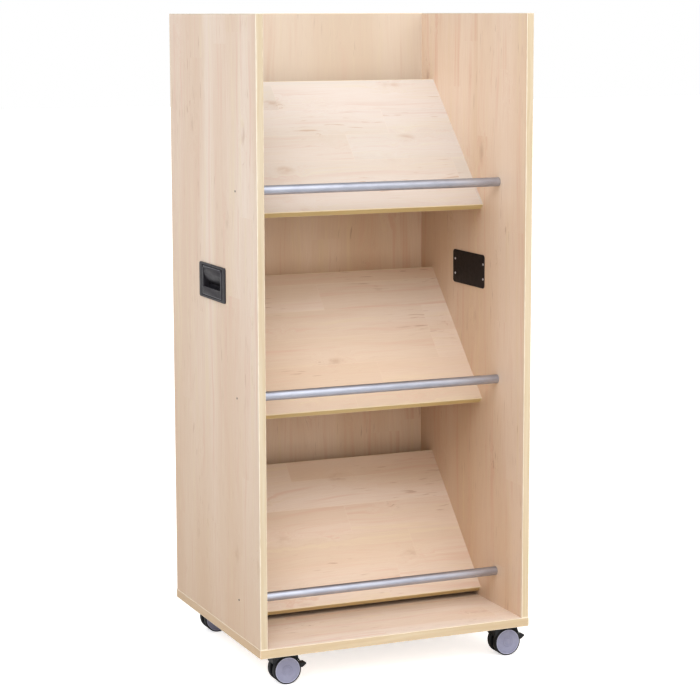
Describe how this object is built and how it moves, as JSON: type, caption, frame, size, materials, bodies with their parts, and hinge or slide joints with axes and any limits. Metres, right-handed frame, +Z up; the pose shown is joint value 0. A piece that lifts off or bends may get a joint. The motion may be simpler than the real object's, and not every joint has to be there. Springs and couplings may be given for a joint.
{
  "type": "mobile shelf unit",
  "caption": "Tall open-topped wooden storage unit on twin-wheel casters, with sloping shelves behind round retaining rails and recessed carrying handles.",
  "frame": {"origin": "on the floor, under the centre of the base panel", "axes": "+X towards the unit's right seen from its open front, +Y towards the back panel, +Z up"},
  "size_m": [0.7171, 0.6, 1.56],
  "materials": {
    "board": "beech veneer on chipboard, satin lacquer",
    "board_edging": "solid beech-coloured edging, satin lacquer",
    "spline_wood": "raw plywood, glued in",
    "rail_metal": "satin anodised round tube",
    "handle_plastic": "fine-textured dark grey moulding",
    "cover_plate_plastic": "matt near-black sheet",
    "stem_steel": "zinc-plated steel",
    "caster_plastic": "black nylon moulding",
    "wheel_tyre": "black soft tread over a moulded wheel",
    "wheel_disc": "blue-grey moulded wheel disc, slight sheen"
  },
  "bodies": {
    "carcass": {"back_edge_band": "board_edging", "back_panel": "board", "base_edge_band": "board_edging", "base_panel": "board", "caster_stems": "stem_steel", "handle_cover_plate_left": "cover_plate_plastic", "handle_cover_plate_right": "cover_plate_plastic", "handle_cup_left": "handle_plastic", "handle_cup_right": "handle_plastic", "panel_splines": "spline_wood", "rail_bottom": "rail_metal", "rail_middle": "rail_metal", "rail_top": "rail_metal", "shelf_bottom": "board", "shelf_front_band_bottom": "board_edging", "shelf_front_band_middle": "board_edging", "shelf_front_band_top": "board_edging", "shelf_middle": "board", "shelf_rear_band_bottom": "board_edging", "shelf_rear_band_middle": "board_edging", "shelf_rear_band_top": "board_edging", "shelf_top": "board", "side_edge_band_left": "board_edging", "side_edge_band_right": "board_edging", "side_panel_left": "board", "side_panel_right": "board"},
    "caster_front_left": {"caster_front_left_hood": "caster_plastic"},
    "caster_front_left_front_wheel": {"caster_front_left_wheel_front": "wheel_tyre"},
    "caster_front_left_rear_wheel": {"caster_front_left_wheel_rear": "wheel_tyre"},
    "caster_front_left_pedal": {"caster_front_left_brake_pedal": "caster_plastic"},
    "caster_front_right": {"caster_front_right_hood": "caster_plastic"},
    "caster_front_right_front_wheel": {"caster_front_right_wheel_front": "wheel_tyre"},
    "caster_front_right_rear_wheel": {"caster_front_right_wheel_rear": "wheel_tyre"},
    "caster_front_right_pedal": {"caster_front_right_brake_pedal": "caster_plastic"},
    "caster_rear_left": {"caster_rear_left_hood": "caster_plastic"},
    "caster_rear_left_front_wheel": {"caster_rear_left_wheel_front": "wheel_tyre"},
    "caster_rear_left_rear_wheel": {"caster_rear_left_wheel_rear": "wheel_tyre"},
    "caster_rear_right": {"caster_rear_right_hood": "caster_plastic"},
    "caster_rear_right_front_wheel": {"caster_rear_right_wheel_front": "wheel_tyre"},
    "caster_rear_right_rear_wheel": {"caster_rear_right_wheel_rear": "wheel_tyre"}
  },
  "joints": [
    {"name": "caster_front_left_swivel", "type": "hinge", "parent": "carcass", "child": "caster_front_left", "pos_m": [-0.29, -0.24, 0.07], "axis": [0, 0, 1], "continuous": true},
    {"name": "caster_front_left_front_wheel_spin", "type": "hinge", "parent": "caster_front_left", "child": "caster_front_left_front_wheel", "pos_m": [-0.2675, -0.2545, 0.034], "axis": [0, 1, 0], "continuous": true},
    {"name": "caster_front_left_rear_wheel_spin", "type": "hinge", "parent": "caster_front_left", "child": "caster_front_left_rear_wheel", "pos_m": [-0.2675, -0.2255, 0.034], "axis": [0, 1, 0], "continuous": true},
    {"name": "caster_front_left_brake", "type": "hinge", "parent": "caster_front_left", "child": "caster_front_left_pedal", "pos_m": [-0.2415, -0.24, 0.049], "axis": [0, 1, 0], "range_deg": [0, 10]},
    {"name": "caster_front_right_swivel", "type": "hinge", "parent": "carcass", "child": "caster_front_right", "pos_m": [0.29, -0.24, 0.07], "axis": [0, 0, 1], "continuous": true},
    {"name": "caster_front_right_front_wheel_spin", "type": "hinge", "parent": "caster_front_right", "child": "caster_front_right_front_wheel", "pos_m": [0.3125, -0.2545, 0.034], "axis": [0, 1, 0], "continuous": true},
    {"name": "caster_front_right_rear_wheel_spin", "type": "hinge", "parent": "caster_front_right", "child": "caster_front_right_rear_wheel", "pos_m": [0.3125, -0.2255, 0.034], "axis": [0, 1, 0], "continuous": true},
    {"name": "caster_front_right_brake", "type": "hinge", "parent": "caster_front_right", "child": "caster_front_right_pedal", "pos_m": [0.3385, -0.24, 0.049], "axis": [0, 1, 0], "range_deg": [0, 10]},
    {"name": "caster_rear_left_swivel", "type": "hinge", "parent": "carcass", "child": "caster_rear_left", "pos_m": [-0.29, 0.24, 0.07], "axis": [0, 0, 1], "continuous": true},
    {"name": "caster_rear_left_front_wheel_spin", "type": "hinge", "parent": "caster_rear_left", "child": "caster_rear_left_front_wheel", "pos_m": [-0.2675, 0.2255, 0.034], "axis": [0, 1, 0], "continuous": true},
    {"name": "caster_rear_left_rear_wheel_spin", "type": "hinge", "parent": "caster_rear_left", "child": "caster_rear_left_rear_wheel", "pos_m": [-0.2675, 0.2545, 0.034], "axis": [0, 1, 0], "continuous": true},
    {"name": "caster_rear_right_swivel", "type": "hinge", "parent": "carcass", "child": "caster_rear_right", "pos_m": [0.29, 0.24, 0.07], "axis": [0, 0, 1], "continuous": true},
    {"name": "caster_rear_right_front_wheel_spin", "type": "hinge", "parent": "caster_rear_right", "child": "caster_rear_right_front_wheel", "pos_m": [0.3125, 0.2255, 0.034], "axis": [0, 1, 0], "continuous": true},
    {"name": "caster_rear_right_rear_wheel_spin", "type": "hinge", "parent": "caster_rear_right", "child": "caster_rear_right_rear_wheel", "pos_m": [0.3125, 0.2545, 0.034], "axis": [0, 1, 0], "continuous": true}
  ]
}
